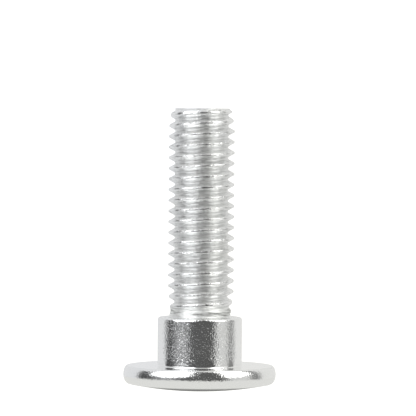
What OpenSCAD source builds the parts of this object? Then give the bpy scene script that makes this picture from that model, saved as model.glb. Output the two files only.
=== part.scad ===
// Disc bolt: a headed and thread-rolled steel bolt with a wide crowned head and a plain collar.
// It stands on its head at the origin, with its axis along +Z and its thread up.

/* [Head] */
// Diameter of the head at its widest
head_d = 17.9; // [15:0.05:24]
// Thickness of the head at its middle
head_h = 2.87; // [2.4:0.01:5]
// Height of the widest line of the rim
rim_h = 1.8; // [1.2:0.05:2.2]
// Height that the crowned outer face rises from its middle to the rim's lower corner
crown_h = 0.74; // [0.3:0.02:1]
// Diameter of the small flat in the middle of the crowned face
crown_flat_d = 5; // [2:0.1:8]
// Radial width of the rim's lower corner
rim_low_w = 0.57; // [0.2:0.01:1.2]
// Radial width of the rim's upper corner
rim_top_w = 0.47; // [0.2:0.01:1.2]

/* [Collar] */
// Diameter of the collar
collar_d = 9.9; // [9:0.05:13]
// Length of the collar above the head
collar_l = 5.67; // [3:0.01:12]
// Radius of the fillet where the collar meets the head
collar_fillet = 0.2; // [0.05:0.01:0.6]
// Radius of the collar's top edge
collar_edge = 0.3; // [0.05:0.01:0.6]

/* [Thread] */
// Outer diameter of the thread
thread_d = 7.76; // [7.5:0.02:8.4]
// Distance from one turn of the thread to the next
thread_pitch = 1.25; // [0.8:0.05:1.6]
// Angle about the axis at which the middle of a crest meets the end face
thread_turn = 52; // [0:1:359]
// Diameter of the plain neck, which is the wire that the thread is rolled on
neck_d = 7.12; // [6.9:0.02:7.4]
// Length of the plain neck between the collar and the thread
neck_l = 0.48; // [0.4:0.02:4]
// Radius of the fillet where the neck meets the collar
neck_fillet = 0.35; // [0.05:0.01:0.38]
// Height above the neck over which the roots of the thread sink to their full depth
root_growth_l = 0.8; // [0.4:0.05:3]
// Height above the neck over which the crests of the thread grow to their full height
crest_growth_l = 2.7; // [0.8:0.1:6]
// Height below the end face over which the crests of the thread grow to their full height
end_growth_l = 2.4; // [0.8:0.1:6]
// Height of the bolt from the flat of its head to its end face
bolt_l = 33; // [20:0.5:60]
// Diameter of the flat end face
end_d = 6.4; // [5:0.05:6.8]
// Angle between the chamfer at the end face and the bolt's axis
end_chamfer_angle = 45; // [20:1:60]

/* [Hidden] */
steel = [0.78, 0.78, 0.76];

// Straight steps in each rounded corner of the turned outline
corner_steps = 8;
// Straight steps in the outline of the crown
crown_steps = 12;
// Sides of the neck and the thread
thread_sides = 36;
// Sides of the head and the collar when they are drawn as facets
round_sides = 128;

// Depth of a standard external thread as a share of its pitch, with sides that meet at 60 degrees
thread_depth = 0.6134 * thread_pitch;
crest_w = thread_pitch / 8;
flank_w = thread_depth * tan(30);
root_r = thread_d / 2 - thread_depth;

collar_top = head_h + collar_l;
thread_z = collar_top + neck_l;

// The threaded shank starts inside the neck or the collar, a whole number of turns below the end face
shank_seat = 0.5;
shank_turns = ceil((bolt_l - thread_z + shank_seat) / thread_pitch);
shank_z = bolt_l - shank_turns * thread_pitch;
// Its sides there lie this far inside the neck
shank_inset = 0.02;
shank_start_r = neck_d / 2 - shank_inset;

// The four edges of a turn, each as its height above the middle of the crest and its radius
turn_edges = [
    [-crest_w / 2, thread_d / 2],
    [crest_w / 2, thread_d / 2],
    [crest_w / 2 + flank_w, root_r],
    [thread_pitch - crest_w / 2 - flank_w, root_r]
];
edges = len(turn_edges);
shank_edges = shank_turns * edges;
// An edge that crosses the end face stops this far below it
end_gap = 0.02;

// A rounded corner after its first point: a quarter of a circle or an ellipse where its sides are square
function corner(from, peak, to) = [
    for (i = [1 : corner_steps])
        let (t = i / corner_steps, a = pow(1 - t, 2), b = 2 * t * (1 - t) * cos(45), c = pow(t, 2))
        (a * from + b * peak + c * to) / (a + b + c)
];

// The crown's outline after the edge of its flat, an arc centred on the bolt's axis
function crown(flat_r, rim_r) =
    let (
        centre_h = (pow(rim_r, 2) - pow(flat_r, 2) + pow(crown_h, 2)) / (2 * crown_h),
        arc_r = norm([flat_r, centre_h]),
        first = asin(flat_r / arc_r),
        last = asin(rim_r / arc_r)
    )
    [
        for (i = [1 : crown_steps])
            let (angle = first + (last - first) * i / crown_steps)
            [arc_r * sin(angle), centre_h - arc_r * cos(angle)]
    ];

// Height of an edge of the thread, counted up from the lowest crest
function edge_h(edge) = floor(edge / edges) * thread_pitch + turn_edges[edge % edges][0];

// Height at one side of the shank of the crest that the edges are counted from
function crest_h(side) = shank_z + thread_pitch * ((360 * side / thread_sides - thread_turn) / 360 - 1);

// The lowest edge that lies above the bottom of the shank at one side
function first_edge(side) =
    [for (edge = [0 : 4 * edges]) if (crest_h(side) + edge_h(edge) > shank_z + end_gap) edge][0];

// How many edges pass the end face between one side and the next, where the last side meets the first
function edges_lost(side) =
    side < thread_sides - 1
        ? first_edge(side) - first_edge(side + 1)
        : first_edge(side) - first_edge(0) + edges;

// The roots sink from the neck's radius and the crests grow from it, and the chamfer cuts both at the end
function shank_r(full_r, h) =
    let (
        is_root = full_r < shank_start_r,
        growth_above_neck = (h - thread_z) / (is_root ? root_growth_l : crest_growth_l),
        growth_below_end = is_root ? 1 : (bolt_l - h) / end_growth_l,
        growth = max(min(growth_above_neck, growth_below_end, 1), 0),
        chamfer_r = end_d / 2 + (bolt_l - h) * tan(end_chamfer_angle)
    )
    min(shank_start_r + (full_r - shank_start_r) * growth, chamfer_r);

function shank_point(side, r, h) =
    [r * cos(360 * side / thread_sides), r * sin(360 * side / thread_sides), h];

// One side's points: the bottom of the shank, each edge of the thread above it, and the end face
function shank_column(side) = [
    shank_point(side, shank_start_r, shank_z),
    for (i = [0 : shank_edges - 1])
        let (
            edge = first_edge(side) + i,
            h = min(crest_h(side) + edge_h(edge), bolt_l - end_gap)
        )
        shank_point(side, shank_r(turn_edges[edge % edges][1], h), h),
    shank_point(side, end_d / 2, bolt_l)
];

// The faces between one side's points and the next side's, where edge i meets edge i + lost
function shank_strip(side) =
    let (
        here = side * (shank_edges + 2),
        there = (side + 1) % thread_sides * (shank_edges + 2),
        lost = edges_lost(side),
        top = shank_edges + 1
    )
    [
        for (i = [0 : lost]) [here, there + i + 1, there + i],
        [here, here + 1, there + lost + 1],
        for (i = [1 : shank_edges - lost - 1]) each [
            [here + i, here + i + 1, there + i + lost + 1],
            [here + i, there + i + lost + 1, there + i + lost]
        ],
        [here + top - lost - 1, there + top, there + top - 1],
        for (i = [top - lost - 1 : top - 1]) [here + i, here + i + 1, there + top]
    ];

module turned_body() {
    head_r = head_d / 2;
    collar_r = collar_d / 2;
    neck_r = neck_d / 2;
    low_r = head_r - rim_low_w;
    crown_line = crown(crown_flat_d / 2, low_r);
    rise = crown_line[crown_steps - 1] - crown_line[crown_steps - 2];

    rotate_extrude($fn = round_sides)
        polygon(concat(
            [[0, 0], [crown_flat_d / 2, 0]],
            crown_line,
            corner([low_r, crown_h], [head_r, crown_h + rim_low_w * rise.y / rise.x], [head_r, rim_h]),
            corner([head_r, rim_h], [head_r, head_h], [head_r - rim_top_w, head_h]),
            [[collar_r + collar_fillet, head_h]],
            corner(
                [collar_r + collar_fillet, head_h],
                [collar_r, head_h],
                [collar_r, head_h + collar_fillet]
            ),
            [[collar_r, collar_top - collar_edge]],
            corner(
                [collar_r, collar_top - collar_edge],
                [collar_r, collar_top],
                [collar_r - collar_edge, collar_top]
            ),
            [[neck_r + neck_fillet, collar_top]],
            corner(
                [neck_r + neck_fillet, collar_top],
                [neck_r, collar_top],
                [neck_r, collar_top + neck_fillet]
            ),
            [[neck_r, thread_z], [0, thread_z]]
        ));
}

module threaded_shank() {
    sides = [0 : thread_sides - 1];
    column = shank_edges + 2;

    polyhedron(
        points = [for (side = sides) each shank_column(side)],
        faces = [
            for (side = sides) each shank_strip(side),
            [for (side = sides) side * column],
            [for (side = sides) (thread_sides - side) * column - 1]
        ]
    );
}

module bolt() {
    color(steel)
        union() {
            turned_body();
            threaded_shank();
        }
}

bolt();
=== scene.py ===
"""Disc bolt: a bright plated steel bolt with a wide crowned disc head, a plain collar and an M8 thread.

It stands on its head on white paper, as in the photograph. The sections follow the bolt from its head
to the end of its thread, and then come its plating, the paper, the light and the camera.
"""

import math

import bpy
from mathutils import Matrix, Vector, noise


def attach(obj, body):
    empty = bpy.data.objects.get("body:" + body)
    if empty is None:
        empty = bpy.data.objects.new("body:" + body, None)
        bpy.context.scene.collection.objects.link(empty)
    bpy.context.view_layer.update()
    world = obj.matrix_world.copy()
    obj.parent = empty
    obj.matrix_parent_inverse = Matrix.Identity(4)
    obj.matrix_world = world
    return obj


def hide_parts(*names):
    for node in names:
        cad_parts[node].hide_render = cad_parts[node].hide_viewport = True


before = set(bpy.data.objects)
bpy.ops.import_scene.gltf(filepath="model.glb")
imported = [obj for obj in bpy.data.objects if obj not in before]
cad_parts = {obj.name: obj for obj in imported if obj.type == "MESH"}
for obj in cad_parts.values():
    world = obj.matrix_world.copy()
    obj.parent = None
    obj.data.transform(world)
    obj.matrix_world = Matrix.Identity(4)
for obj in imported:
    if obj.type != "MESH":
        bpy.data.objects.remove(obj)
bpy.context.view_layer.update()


# Head and collar
# The head is a wide disc, cold headed from the steel wire in one blow with the collar above it, so both
# are one piece of steel. The dies round every edge and leave the outer face of the head slightly crowned.

# Lengths are in millimetres until the bolt is whole
MM = 0.001
HEAD_R, HEAD_H = 8.95, 2.87
# Height of the widest line of the rim, and the radial width of the rounded corners below and above it
RIM_H, RIM_LOW_W, RIM_TOP_W = 1.8, 0.57, 0.47
# Radius of the small flat that the bolt stands on, and how far the crown rises from it to the rim
CROWN_FLAT_R, CROWN_H = 2.5, 0.74
COLLAR_R, COLLAR_TOP = 4.95, 8.54
# The foot of the collar has a small fillet, and its top edge is rounded
COLLAR_FILLET, COLLAR_EDGE = 0.12, 0.3
NECK_R, NECK_FILLET = 3.56, 0.35
TURNED_SIDES = 144
CORNER_STEPS, CROWN_STEPS = 8, 12
# A ring this far from a rounded corner keeps the flat or straight wall beside it even
SUPPORT = 0.04


def rounded_corner(start, peak, stop):
    """The points of a rounded corner after its start: a quarter of an ellipse where its sides are square."""
    start, peak, stop = Vector(start), Vector(peak), Vector(stop)
    points = []
    for step in range(1, CORNER_STEPS + 1):
        t = step / CORNER_STEPS
        a, b, c = (1 - t) ** 2, 2 * t * (1 - t) * math.cos(math.pi / 4), t ** 2
        points.append((a * start + b * peak + c * stop) / (a + b + c))
    return points


# The crown is an arc centred on the axis of the bolt
crown_rim_r = HEAD_R - RIM_LOW_W
crown_centre = (crown_rim_r ** 2 - CROWN_FLAT_R ** 2 + CROWN_H ** 2) / (2 * CROWN_H)
crown_arc_r = math.hypot(CROWN_FLAT_R, crown_centre)
crown_first = math.asin(CROWN_FLAT_R / crown_arc_r)
crown_last = math.asin(crown_rim_r / crown_arc_r)
outline = []
for step in range(1, CROWN_STEPS + 1):
    angle = crown_first + (crown_last - crown_first) * step / CROWN_STEPS
    outline.append((crown_arc_r * math.sin(angle), crown_centre - crown_arc_r * math.cos(angle)))

# Then come the rim, the flat ring on the head, the wall of the collar, its flat top and the foot of the neck
rim_peak = (HEAD_R, CROWN_H + RIM_LOW_W * math.tan(crown_last))
outline += rounded_corner((crown_rim_r, CROWN_H), rim_peak, (HEAD_R, RIM_H))
outline += rounded_corner((HEAD_R, RIM_H), (HEAD_R, HEAD_H), (HEAD_R - RIM_TOP_W, HEAD_H))
outline += [(HEAD_R - RIM_TOP_W - SUPPORT, HEAD_H), (COLLAR_R + COLLAR_FILLET + SUPPORT, HEAD_H)]
outline += [(COLLAR_R + COLLAR_FILLET, HEAD_H)]
outline += rounded_corner(outline[-1], (COLLAR_R, HEAD_H), (COLLAR_R, HEAD_H + COLLAR_FILLET))
outline += [(COLLAR_R, HEAD_H + COLLAR_FILLET + SUPPORT), (COLLAR_R, COLLAR_TOP - COLLAR_EDGE - SUPPORT)]
outline += [(COLLAR_R, COLLAR_TOP - COLLAR_EDGE)]
outline += rounded_corner(outline[-1], (COLLAR_R, COLLAR_TOP), (COLLAR_R - COLLAR_EDGE, COLLAR_TOP))
outline += [(COLLAR_R - COLLAR_EDGE - SUPPORT, COLLAR_TOP), (NECK_R + NECK_FILLET + SUPPORT, COLLAR_TOP)]
outline += [(NECK_R + NECK_FILLET, COLLAR_TOP)]
outline += rounded_corner(outline[-1], (NECK_R, COLLAR_TOP), (NECK_R, COLLAR_TOP + NECK_FILLET))

bpy.ops.object.select_all(action="DESELECT")
bpy.ops.mesh.primitive_circle_add(vertices=TURNED_SIDES, radius=CROWN_FLAT_R, fill_type="NGON")
bolt = bpy.context.object
bolt.name = bolt.data.name = "bolt_body"
bpy.ops.object.mode_set(mode="EDIT")
bpy.ops.mesh.select_all(action="SELECT")
ring_r, ring_z = CROWN_FLAT_R, 0.0
for r, z in outline:
    bpy.ops.mesh.extrude_region_move(TRANSFORM_OT_translate={"value": (0, 0, z - ring_z)})
    bpy.ops.transform.resize(value=(r / ring_r, r / ring_r, 1), center_override=(0, 0, z))
    ring_r, ring_z = r, z
# The last ring is left open, and the threaded shank carries on from it
bpy.ops.mesh.delete(type="ONLY_FACE")
bpy.ops.object.mode_set(mode="OBJECT")


# Threaded shank
# A right-hand M8 coarse thread, rolled on the wire between two flat dies, which press its roots in and raise
# its crests, both rounded. It grows over the first turns above the neck and is cut by a chamfer at the end.
THREAD_R, PITCH = 3.88, 1.25
# Angle about the axis at which the middle of a crest meets the end face
THREAD_TURN = 52
# Depth of a standard external thread and the radius of its roots, as shares of the pitch
THREAD_DEPTH, ROOT_RADIUS = 0.6134 * PITCH, 0.1443 * PITCH
CREST_FLAT, CREST_RADIUS = 0.23, 0.08
# Turn of the surface from a crest or a root to the side of the thread, in degrees
FLANK_TURN = 60
ARC_STEPS, FLANK_STEPS, THREAD_STEPS = 3, 4, 96
# A line this far inside the edge of a crest keeps the crest's middle straight
LAND_SUPPORT = 0.02
# Height of the end face, and the radius and angle of its chamfer
BOLT_L, END_R, END_CHAMFER = 33.0, 3.2, 45
# The crests grow from the top of the neck and towards the end, and the roots sink from a little higher up
THREAD_Z, CREST_GROWTH, END_GROWTH = 9.02, 2.7, 2.4
ROOT_START, ROOT_GROWTH = 9.25, 0.9

root_r = THREAD_R - THREAD_DEPTH
arc = [math.radians(FLANK_TURN) * step / ARC_STEPS for step in range(ARC_STEPS + 1)]
crest_r = THREAD_R - CREST_RADIUS
crest_z = CREST_FLAT / 2 - CREST_RADIUS * math.tan(math.radians(FLANK_TURN) / 2)
crest_arc = [(crest_r + CREST_RADIUS * math.cos(a), crest_z + CREST_RADIUS * math.sin(a)) for a in arc]
root_arc = [
    (root_r + ROOT_RADIUS - ROOT_RADIUS * math.cos(a), PITCH / 2 - ROOT_RADIUS * math.sin(a))
    for a in reversed(arc)
]
flank = [
    tuple(p + (q - p) * step / FLANK_STEPS for p, q in zip(crest_arc[-1], root_arc[0]))
    for step in range(1, FLANK_STEPS)
]
half_turn = [(THREAD_R, 0), (THREAD_R, crest_z - LAND_SUPPORT)] + crest_arc + flank + root_arc
turn = half_turn + [(r, PITCH - z) for r, z in half_turn[-2::-1]]

# One turn's outline is drawn on the +X side and carried round the axis and up. Spare turns reach below the
# neck and above the end, where they are cut off. Points closer than the weld are one point.
SPARE_TURNS = 3
WELD = 0.001
turns = math.ceil((BOLT_L - THREAD_Z) / PITCH) + SPARE_TURNS
first_crest = BOLT_L - PITCH * THREAD_TURN / 360 - PITCH * (turns - 1)
outline_mesh = bpy.data.meshes.new("thread_outline")
outline_mesh.from_pydata(
    [(r, 0, first_crest + z) for r, z in turn], [(i, i + 1) for i in range(len(turn) - 1)], []
)
shank = bpy.data.objects.new("shank", outline_mesh)
bpy.context.scene.collection.objects.link(shank)
bpy.ops.object.select_all(action="DESELECT")
shank.select_set(True)
bpy.context.view_layer.objects.active = shank
screw = shank.modifiers.new("screw", "SCREW")
screw.axis = "Z"
screw.angle = math.tau
screw.screw_offset = PITCH
screw.iterations = turns
screw.steps = screw.render_steps = THREAD_STEPS
screw.use_smooth_shade = True
bpy.ops.object.modifier_apply(modifier="screw")
bpy.ops.object.mode_set(mode="EDIT")
bpy.ops.mesh.select_all(action="SELECT")
bpy.ops.mesh.remove_doubles(threshold=WELD)
bpy.ops.mesh.normals_make_consistent(inside=False)
bpy.ops.object.mode_set(mode="OBJECT")


def grown(value, start, length):
    """How much of a length a value has covered from its start, from 0 to 1."""
    return max(min((value - start) / length, 1), 0)


def shank_radius(full_r, h):
    """The radius at height h of a line of the thread that lies at full_r where the thread is whole."""
    if full_r < NECK_R:
        growth = grown(h, ROOT_START, ROOT_GROWTH)
    else:
        growth = min(grown(h, THREAD_Z, CREST_GROWTH), grown(BOLT_L - h, 0, END_GROWTH))
    chamfer_r = END_R + (BOLT_L - h) * math.tan(math.radians(END_CHAMFER))
    return min(NECK_R + (full_r - NECK_R) * growth, chamfer_r)


# The crests are up to twice this uneven, in swells of about this length, and the roots and both ends are even
UNEVEN, UNEVEN_L, UNEVEN_FADE = 0.012, 0.9, 1.0
# The dies burnish the crests this deep. The plating stays dull this far out from the roots, except on the
# lowest turn, and the same stretch is painted a little darker, as painted shade. Both are marked for the
# plating.
BURNISHED_L, DULL_L = 0.05, 0.3
DULL_START, DULL_GROWTH = 9.4, 1.0
# The thread lies this far off the collar's centre in the photo, to the right
OFF_CENTRE = 0.085
crest_mark = shank.data.attributes.new("crest", "FLOAT", "POINT")
root_mark = shank.data.attributes.new("root", "FLOAT", "POINT")
for vertex in shank.data.vertices:
    x, y, h = vertex.co
    full_r = math.hypot(x, y)
    r = shank_radius(full_r, h)
    share = grown(r, root_r, THREAD_DEPTH)
    share *= grown(h, THREAD_Z, UNEVEN_FADE) * grown(BOLT_L - h, 0, UNEVEN_FADE)
    r -= UNEVEN * share * (1 + noise.noise(vertex.co / UNEVEN_L))
    vertex.co.x, vertex.co.y = x * r / full_r + OFF_CENTRE, y * r / full_r
    crest_mark.data[vertex.index].value = 1 - grown(THREAD_R - full_r, 0, BURNISHED_L)
    near_root = 1 - grown(full_r, root_r, DULL_L)
    root_mark.data[vertex.index].value = near_root * grown(h, DULL_START, DULL_GROWTH)

# The spare turns are cut off just under the place where the roots begin, and just under the end face, whose
# edge is then broken by two small steps, each given as its radius and height
BELOW_ROOTS = 0.03
EDGE_BREAK = 0.05
END_EDGE = ((END_R + 0.02, BOLT_L - 0.015), (END_R - 0.03, BOLT_L))
# A cut passes through the points that lie closer to it than this
ON_CUT = 0.0005
bpy.ops.object.mode_set(mode="EDIT")
bpy.ops.mesh.select_all(action="SELECT")
bpy.ops.mesh.bisect(
    plane_co=(0, 0, ROOT_START - BELOW_ROOTS), plane_no=(0, 0, 1), clear_inner=True, threshold=ON_CUT
)
bpy.ops.mesh.select_all(action="SELECT")
bpy.ops.mesh.bisect(
    plane_co=(0, 0, BOLT_L - EDGE_BREAK),
    plane_no=(0, 0, 1),
    clear_outer=True,
    use_fill=True,
    threshold=ON_CUT,
)
ring_r, ring_z = END_R + EDGE_BREAK, BOLT_L - EDGE_BREAK
for r, z in END_EDGE:
    bpy.ops.mesh.extrude_region_move(TRANSFORM_OT_translate={"value": (0, 0, z - ring_z)})
    bpy.ops.transform.resize(value=(r / ring_r, r / ring_r, 1), center_override=(OFF_CENTRE, 0, z))
    ring_r, ring_z = r, z
bpy.ops.object.mode_set(mode="OBJECT")

# The shank and the collar are one piece of steel, so their open rings are bridged. Edges that turn by less
# than this many degrees are shaded smooth.
SMOOTH_UNDER = 35
bolt.select_set(True)
bpy.context.view_layer.objects.active = bolt
bpy.ops.object.join()
bpy.ops.object.mode_set(mode="EDIT")
bpy.ops.mesh.select_mode(type="EDGE")
bpy.ops.mesh.select_all(action="DESELECT")
bpy.ops.mesh.select_non_manifold(
    extend=False,
    use_wire=False,
    use_boundary=True,
    use_multi_face=False,
    use_non_contiguous=False,
    use_verts=False,
)
bpy.ops.mesh.bridge_edge_loops()
bpy.ops.mesh.select_all(action="SELECT")
bpy.ops.mesh.normals_make_consistent(inside=False)
bpy.ops.transform.resize(value=(MM, MM, MM), center_override=(0, 0, 0))
bpy.ops.object.mode_set(mode="OBJECT")
bpy.ops.object.shade_smooth_by_angle(angle=math.radians(SMOOTH_UNDER))
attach(bolt, "root")
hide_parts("bolt")


# Plating
# Bright zinc, electroplated over the formed steel. To the eye it is a slightly soft mirror with a fine
# sparkling grain and duller specks, brightest on the burnished crests. The sides and roots of the thread are
# duller and streaked, since rolling roughens them, and the neck keeps the dark marks of the wire.
def linear(hex_colour):
    """The linear colour of an sRGB hex value."""
    channels = [int(hex_colour[i : i + 2], 16) / 255 for i in (1, 3, 5)]
    return [c / 12.92 if c <= 0.04045 else ((c + 0.055) / 1.055) ** 2.4 for c in channels] + [1]


def add_node(tree, kind, inputs=None, **settings):
    """Adds a node with its settings. An input is given either a value or another node's output."""
    added = tree.nodes.new(kind)
    for name, value in settings.items():
        setattr(added, name, value)
    for name, value in (inputs or {}).items():
        if isinstance(value, bpy.types.NodeSocket):
            tree.links.new(value, added.inputs[name])
        else:
            added.inputs[name].default_value = value
    return added


ZINC_COOL, ZINC_WARM = "#F2F3F4", "#F5F5F3"
# The grey painted into the thread's roots as painted shade, and how much of it
ROOT_SHADE_GREY, ROOT_SHADE_SHARE = "#B4B5B1", 0.12
STREAK_GREY, STREAK_SHARE = "#A2A3A0", 0.5
NECK_BRIGHT, NECK_DARK = "#F1F2F0", "#A4A5A2"
# Roughness of each place, what the head and the smears on the thread add to it, and what the specks add
# where they are few and where they are many
COLLAR_ROUGH, THREAD_ROUGH, ROOT_ROUGH, NECK_ROUGH, CREST_ROUGH = 0.085, 0.18, 0.37, 0.46, 0.11
HEAD_ROUGHER, SMEAR_ROUGHER, SPECKS_ROUGHER = 0.055, 0.12, (0.08, 0.18)
# Depth of the grain in each place, and of the rings and the drag lines
COLLAR_GRAIN, THREAD_GRAIN, NECK_GRAIN, HEAD_GRAIN = 0.035 * MM, 0.03 * MM, 0.01 * MM, 0.018 * MM
RING_DEPTH, DRAG_DEPTH = 0.06 * MM, 0.14 * MM
# Share of the rings on the collar, and of the drag lines on the thread and on the neck
COLLAR_RINGS, THREAD_DRAG, NECK_DRAG = 0.03, 0.5, 0.15
# Sizes of the patterns in millimetres. The real grain, specks and drag lines are a few hundredths of a
# millimetre wide, too fine to show, so all of them are drawn some five times as coarse.
GRAIN_W, GRAIN_STRETCH = 0.1754, 0.88
SPECK_W, PATCH_W = 0.2, 2.857
RING_L, RING_W = 2.857, 0.1538
DRAG_L, DRAG_W = 1.0, 1 / 6
# Where in the range of its pattern, from 0 to 1, each mark begins and where it is whole
STREAKS_AT, NECK_MARKS_AT, SMEARS_AT = (0.58, 0.63), (0.5, 0.58), (0.4, 0.65)
MANY_SPECKS_AT, SPECKS_AT = (0.4, 0.6), (0.45, 0.2)
# Heights in millimetres where the finish changes: the top of the head's own finish, where the grain comes in
# above the foot of the collar, where the thread's finish comes in, where the neck's goes out, and the end
HEAD_FINISH = HEAD_H - 0.01
GRAIN_FROM, GRAIN_TO, GRAIN_AT_FOOT = HEAD_H + 0.05, HEAD_H + 1.0, 0.1
THREAD_FROM, THREAD_TO = 8.5, 8.8
NECK_OUT_FROM, NECK_OUT_TO = 9.3, 10.2
END_FINISH = BOLT_L - 0.04

plating = bpy.data.materials.new("bright_zinc_plate")
plating.use_nodes = True
tree = plating.node_tree
tree.nodes.clear()
place = add_node(tree, "ShaderNodeTexCoord").outputs["Object"]
in_mm = add_node(
    tree, "ShaderNodeVectorMath", {0: place, 1: (1 / MM, 1 / MM, 1 / MM)}, operation="MULTIPLY"
).outputs[0]
height = add_node(tree, "ShaderNodeSeparateXYZ", {0: in_mm}).outputs["Z"]
crest = add_node(tree, "ShaderNodeAttribute", attribute_name="crest").outputs["Fac"]
root = add_node(tree, "ShaderNodeAttribute", attribute_name="root").outputs["Fac"]

# Places on the bolt. The flat ring on the head and the foot of the collar have little grain, because the dies
# leave them smooth.
on_head = add_node(tree, "ShaderNodeMath", {0: height, 1: HEAD_FINISH}, operation="LESS_THAN").outputs[0]
above_foot = add_node(
    tree,
    "ShaderNodeMapRange",
    {"Value": height, "From Min": GRAIN_FROM, "From Max": GRAIN_TO, "To Min": GRAIN_AT_FOOT},
).outputs[0]
grained = add_node(tree, "ShaderNodeMath", {0: on_head, 1: above_foot}, operation="MAXIMUM").outputs[0]
on_thread = add_node(
    tree, "ShaderNodeMapRange", {"Value": height, "From Min": THREAD_FROM, "From Max": THREAD_TO}
).outputs[0]
below_turns = add_node(
    tree, "ShaderNodeMapRange", {"Value": height, "From Min": NECK_OUT_TO, "From Max": NECK_OUT_FROM}
).outputs[0]
on_neck = add_node(tree, "ShaderNodeMath", {0: on_thread, 1: below_turns}, operation="MULTIPLY").outputs[0]
below_end = add_node(tree, "ShaderNodeMath", {0: height, 1: END_FINISH}, operation="LESS_THAN").outputs[0]

# Patterns: the grain of the deposit, rings that the wire and the dies leave, lines that the dies drag along
# the thread, patches where the deposit differs, and specks
grain_place = add_node(
    tree, "ShaderNodeVectorMath", {0: in_mm, 1: (1, 1, GRAIN_STRETCH)}, operation="MULTIPLY"
).outputs[0]
grain = add_node(
    tree,
    "ShaderNodeTexNoise",
    {"Vector": grain_place, "Scale": 1 / GRAIN_W, "Detail": 1.0, "Roughness": 0.6, "Distortion": 0.15},
).outputs["Fac"]
rings_place = add_node(
    tree, "ShaderNodeVectorMath", {0: in_mm, 1: (1 / RING_L, 1 / RING_L, 1 / RING_W)}, operation="MULTIPLY"
).outputs[0]
rings = add_node(
    tree, "ShaderNodeTexNoise", {"Vector": rings_place, "Scale": 1.0, "Detail": 3.0, "Roughness": 0.7}
).outputs["Fac"]
drag_place = add_node(
    tree, "ShaderNodeVectorMath", {0: in_mm, 1: (1 / DRAG_L, 1 / DRAG_L, 1 / DRAG_W)}, operation="MULTIPLY"
).outputs[0]
drag = add_node(
    tree, "ShaderNodeTexNoise", {"Vector": drag_place, "Scale": 1.0, "Detail": 3.0, "Roughness": 0.6}
).outputs["Fac"]
patches = add_node(
    tree, "ShaderNodeTexNoise", {"Vector": in_mm, "Scale": 1 / PATCH_W, "Detail": 2.0}
).outputs["Fac"]
specks = add_node(tree, "ShaderNodeTexVoronoi", {"Vector": in_mm, "Scale": 1 / SPECK_W}).outputs["Distance"]

# Colour: painted shade in the roots, grey streaks on the sides of the thread, and dark rings on the neck
colour = add_node(
    tree,
    "ShaderNodeMix",
    {"Factor": patches, "A": linear(ZINC_COOL), "B": linear(ZINC_WARM)},
    data_type="RGBA",
).outputs["Result"]
# The roots are painted a little darker, as painted shade in the thread's recesses
root_shade = add_node(tree, "ShaderNodeMath", {0: root, 1: ROOT_SHADE_SHARE}, operation="MULTIPLY").outputs[0]
start, full = STREAKS_AT
streaks = add_node(
    tree, "ShaderNodeMapRange", {"Value": drag, "From Min": start, "From Max": full, "To Max": STREAK_SHARE}
).outputs[0]
for part in (on_thread, below_end):
    streaks = add_node(tree, "ShaderNodeMath", {0: streaks, 1: part}, operation="MULTIPLY").outputs[0]
start, full = NECK_MARKS_AT
neck_marks = add_node(
    tree, "ShaderNodeMapRange", {"Value": rings, "From Min": start, "From Max": full}
).outputs[0]
neck_colour = add_node(
    tree,
    "ShaderNodeMix",
    {"Factor": neck_marks, "A": linear(NECK_BRIGHT), "B": linear(NECK_DARK)},
    data_type="RGBA",
).outputs["Result"]
for share, over in ((root_shade, linear(ROOT_SHADE_GREY)), (streaks, linear(STREAK_GREY)), (on_neck, neck_colour)):
    colour = add_node(
        tree, "ShaderNodeMix", {"Factor": share, "A": colour, "B": over}, data_type="RGBA"
    ).outputs["Result"]

# Roughness: the thread is duller than the collar and smeared, and specks are scattered over both and the head
roughness = add_node(
    tree, "ShaderNodeMapRange", {"Value": on_thread, "To Min": COLLAR_ROUGH, "To Max": THREAD_ROUGH}
).outputs[0]
start, full = SMEARS_AT
smears = add_node(
    tree, "ShaderNodeMapRange", {"Value": drag, "From Min": start, "From Max": full, "To Max": SMEAR_ROUGHER}
).outputs[0]
roughness = add_node(
    tree, "ShaderNodeMath", {0: smears, 1: on_thread, 2: roughness}, operation="MULTIPLY_ADD"
).outputs[0]
for share, rough in ((root, ROOT_ROUGH), (on_neck, NECK_ROUGH), (crest, CREST_ROUGH)):
    roughness = add_node(
        tree, "ShaderNodeMix", {"Factor": share, "A": roughness, "B": rough}
    ).outputs["Result"]
roughness = add_node(
    tree, "ShaderNodeMath", {0: on_head, 1: HEAD_ROUGHER, 2: roughness}, operation="MULTIPLY_ADD"
).outputs[0]
few, many = SPECKS_ROUGHER
start, full = MANY_SPECKS_AT
speck_share = add_node(
    tree,
    "ShaderNodeMapRange",
    {"Value": patches, "From Min": start, "From Max": full, "To Min": few, "To Max": many},
).outputs[0]
start, full = SPECKS_AT
dull = add_node(
    tree, "ShaderNodeMapRange", {"Value": specks, "From Min": start, "From Max": full, "To Max": speck_share}
).outputs[0]
roughness = add_node(
    tree, "ShaderNodeMath", {0: dull, 1: grained, 2: roughness}, operation="MULTIPLY_ADD"
).outputs[0]

# Relief: the grain, then the rings, strong on the neck alone, then the drag lines on the thread
grain_depth = add_node(
    tree, "ShaderNodeMapRange", {"Value": on_thread, "To Min": COLLAR_GRAIN, "To Max": THREAD_GRAIN}
).outputs[0]
for share, depth in ((on_neck, NECK_GRAIN), (on_head, HEAD_GRAIN)):
    grain_depth = add_node(
        tree, "ShaderNodeMix", {"Factor": share, "A": grain_depth, "B": depth}
    ).outputs["Result"]
relief = add_node(
    tree, "ShaderNodeBump", {"Height": grain, "Strength": grained, "Distance": grain_depth}
).outputs[0]
ring_share = add_node(tree, "ShaderNodeMapRange", {"Value": on_neck, "To Min": COLLAR_RINGS}).outputs[0]
relief = add_node(
    tree,
    "ShaderNodeBump",
    {"Height": rings, "Strength": ring_share, "Distance": RING_DEPTH, "Normal": relief},
).outputs[0]
on_sides = add_node(tree, "ShaderNodeMapRange", {"Value": on_thread, "To Max": THREAD_DRAG}).outputs[0]
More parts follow.
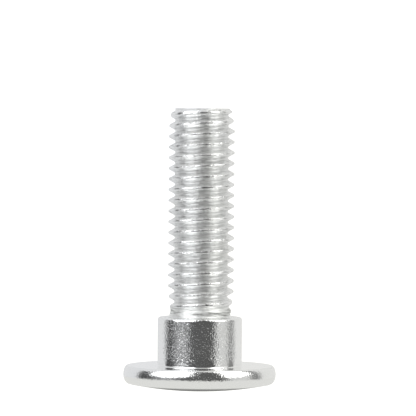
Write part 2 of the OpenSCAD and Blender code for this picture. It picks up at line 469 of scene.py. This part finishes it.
drag_share = add_node(
    tree, "ShaderNodeMath", {0: on_neck, 1: NECK_DRAG - THREAD_DRAG, 2: on_sides}, operation="MULTIPLY_ADD"
).outputs[0]
relief = add_node(
    tree,
    "ShaderNodeBump",
    {"Height": drag, "Strength": drag_share, "Distance": DRAG_DEPTH, "Normal": relief},
).outputs[0]
surface = add_node(
    tree,
    "ShaderNodeBsdfPrincipled",
    {"Base Color": colour, "Metallic": 1.0, "Roughness": roughness, "Normal": relief},
)
add_node(tree, "ShaderNodeOutputMaterial", {"Surface": surface.outputs[0]})
bolt.data.materials.clear()
bolt.data.materials.append(plating)


# Paper
# The bolt stands on a sheet of white paper that is brighter than the camera can record, so it has no edge.
# The steel sees only its near part, dim close to the bolt, and past that the dark side of the room.
PAPER_R, PAPER_Z = 900 * MM, -0.02 * MM
PAPER_WHITE = "#FFFFFC"
# How far from the bolt's axis the steel still sees the paper
SEEN_R = 17.2 * MM
# The head shades the paper fully as far out as the first of these distances, and not at all at the second
SHADE_FROM, SHADE_TO = 5.0 * MM, 7.8 * MM
SHADED, UNSHADED = 0.2, 0.78
# Brightness of the paper and of the white walls to the camera, a little past its white
CAMERA_WHITE = 1.2

bpy.ops.object.select_all(action="DESELECT")
bpy.ops.mesh.primitive_circle_add(vertices=64, radius=PAPER_R, fill_type="NGON", location=(0, 0, PAPER_Z))
paper = bpy.context.object
paper.name = paper.data.name = "paper"
bpy.ops.object.transform_apply(location=True, rotation=True, scale=True)
paper_white = bpy.data.materials.new("white_paper")
paper_white.use_nodes = True
tree = paper_white.node_tree
tree.nodes.clear()
place = add_node(tree, "ShaderNodeTexCoord").outputs["Object"]
away = add_node(tree, "ShaderNodeVectorMath", {0: place}, operation="LENGTH").outputs["Value"]
far = add_node(tree, "ShaderNodeMath", {0: away, 1: SEEN_R}, operation="GREATER_THAN").outputs[0]
rays = add_node(tree, "ShaderNodeLightPath").outputs
unseen = add_node(tree, "ShaderNodeMath", {0: far, 1: rays["Is Glossy Ray"]}, operation="MULTIPLY").outputs[0]
lit = add_node(
    tree,
    "ShaderNodeMapRange",
    {"Value": away, "From Min": SHADE_FROM, "From Max": SHADE_TO, "To Min": SHADED, "To Max": UNSHADED},
).outputs[0]
strength = add_node(
    tree, "ShaderNodeMix", {"Factor": rays["Is Camera Ray"], "A": lit, "B": CAMERA_WHITE}
).outputs["Result"]
sheet = add_node(tree, "ShaderNodeEmission", {"Color": linear(PAPER_WHITE), "Strength": strength})
clear = add_node(tree, "ShaderNodeBsdfTransparent")
sheet = add_node(tree, "ShaderNodeMixShader", {0: unseen, 1: sheet.outputs[0], 2: clear.outputs[0]})
add_node(tree, "ShaderNodeOutputMaterial", {"Surface": sheet.outputs[0]})
paper.data.materials.append(paper_white)


# Light
# A studio with white walls behind and beside the bolt, a dark side behind the camera, and two large softboxes
# in front, to the left and the right. Directions are in degrees: azimuth 0 is towards the camera and 90 to
# the right, and elevation is above the horizon.
WALL_WHITE = 0.8
LEFT_WHITE, RIGHT_WHITE = "#FCFDFF", "#FFFFFD"
# The tint of the light turns from the first white to the second between these azimuths
TINT_FROM, TINT_TO = -40, 30
# Each patch of light covers those before it. Its numbers are its azimuth from and to, its elevation from and
# to, how much higher its lower edge is ten degrees away from its lowest place, that place's azimuth, how soft
# its edges are, and its brightness. A patch past 180 or 90 degrees goes all the way round, up or down.
PATCHES = (
    # The dark side of the room, and a darker gap at the left that the collar's left edge shows
    (-84, 104, -200, 200, 0, 0, 4, 0.1),
    (-106, -76, -30, 32, 0, 0, 5, 0.08),
    # The ceiling
    (-400, 400, 68, 200, 0, 0, 8, 0.75),
    # The left softbox, whose edge is lowest in its middle, over a dim wall
    (-74, -31, -20, 12, 0, 0, 18, 0.26),
    (-79, -15, 7.3, 68, 0.68, -51, 6, 2.5),
    # The right softbox over a brighter wall, and the dim corner past it
    (44, 85, -20, 12, 0, 0, 3, 0.64),
    (39.5, 87, 9.3, 68, 0.75, 52, 6, 2.5),
    (86, 106, -20, 42, 0, 0, 2, 0.25),
    # The white floor, and its dark part under the camera
    (-400, 400, -200, -10, 0, 0, 3, 0.8),
    (-30, 42, -18, -6, 0, 0, 5, 0.1),
)

studio = bpy.data.worlds.new("studio")
bpy.context.scene.world = studio
studio.use_nodes = True
tree = studio.node_tree
tree.nodes.clear()
direction = add_node(tree, "ShaderNodeTexCoord").outputs["Generated"]
split = add_node(tree, "ShaderNodeSeparateXYZ", {0: direction}).outputs
nearer = add_node(tree, "ShaderNodeMath", {0: split["Y"], 1: -1}, operation="MULTIPLY").outputs[0]
azimuth = add_node(tree, "ShaderNodeMath", {0: split["X"], 1: nearer}, operation="ARCTAN2").outputs[0]
azimuth = add_node(tree, "ShaderNodeMath", {0: azimuth}, operation="DEGREES").outputs[0]
elevation = add_node(tree, "ShaderNodeMath", {0: split["Z"]}, operation="ARCSINE").outputs[0]
elevation = add_node(tree, "ShaderNodeMath", {0: elevation}, operation="DEGREES").outputs[0]
light = WALL_WHITE
for az_from, az_to, el_from, el_to, rise, lowest, soft, brightness in PATCHES:
    tens = add_node(tree, "ShaderNodeMath", {0: azimuth, 1: lowest}, operation="SUBTRACT").outputs[0]
    tens = add_node(tree, "ShaderNodeMath", {0: tens, 1: 10}, operation="DIVIDE").outputs[0]
    square = add_node(tree, "ShaderNodeMath", {0: tens, 1: tens}, operation="MULTIPLY").outputs[0]
    above = add_node(
        tree, "ShaderNodeMath", {0: square, 1: -rise, 2: elevation}, operation="MULTIPLY_ADD"
    ).outputs[0]
    share = 1.0
    for value, start, stop in (
        (azimuth, az_from - soft / 2, az_from + soft / 2),
        (azimuth, az_to + soft / 2, az_to - soft / 2),
        (above, el_from - soft / 2, el_from + soft / 2),
        (elevation, el_to + soft / 2, el_to - soft / 2),
    ):
        inside = add_node(
            tree,
            "ShaderNodeMapRange",
            {"Value": value, "From Min": start, "From Max": stop},
            interpolation_type="SMOOTHSTEP",
        ).outputs[0]
        share = add_node(tree, "ShaderNodeMath", {0: share, 1: inside}, operation="MULTIPLY").outputs[0]
    light = add_node(
        tree, "ShaderNodeMix", {"Factor": share, "A": light, "B": brightness}
    ).outputs["Result"]
to_camera = add_node(tree, "ShaderNodeLightPath").outputs["Is Camera Ray"]
light = add_node(
    tree, "ShaderNodeMix", {"Factor": to_camera, "A": light, "B": CAMERA_WHITE}
).outputs["Result"]
to_right = add_node(
    tree, "ShaderNodeMapRange", {"Value": azimuth, "From Min": TINT_FROM, "From Max": TINT_TO}
).outputs[0]
tint = add_node(
    tree,
    "ShaderNodeMix",
    {"Factor": to_right, "A": linear(LEFT_WHITE), "B": linear(RIGHT_WHITE)},
    data_type="RGBA",
).outputs["Result"]
background = add_node(tree, "ShaderNodeBackground", {"Color": tint, "Strength": light})
add_node(tree, "ShaderNodeOutputWorld", {"Surface": background.outputs[0]})
bpy.context.scene.view_settings.view_transform = "Standard"


# Camera
# It looks at the side of the bolt from 400 mm away, from near the height of its end and tilted a little
# down, through a long lens, as the photograph was taken.
SENSOR_W = 36
PICTURE_W = 416
# Distance from the lens to the picture, in the picture's pixels
FOCAL_LENGTH = 3414.6
CAMERA_PLACE = (0.863 * MM, -400 * MM, 31.88 * MM)
TILT_DOWN, ROLL = 1.511, 0.4
camera_data = bpy.data.cameras.new("camera")
camera_data.sensor_width = SENSOR_W
camera_data.lens = FOCAL_LENGTH * SENSOR_W / PICTURE_W
camera_data.clip_start, camera_data.clip_end = 0.01, 100
camera = bpy.data.objects.new("camera", camera_data)
bpy.context.scene.collection.objects.link(camera)
camera.matrix_world = (
    Matrix.Translation(CAMERA_PLACE)
    @ Matrix.Rotation(math.radians(90 - TILT_DOWN), 4, "X")
    @ Matrix.Rotation(math.radians(ROLL), 4, "Z")
)
bpy.context.scene.camera = camera
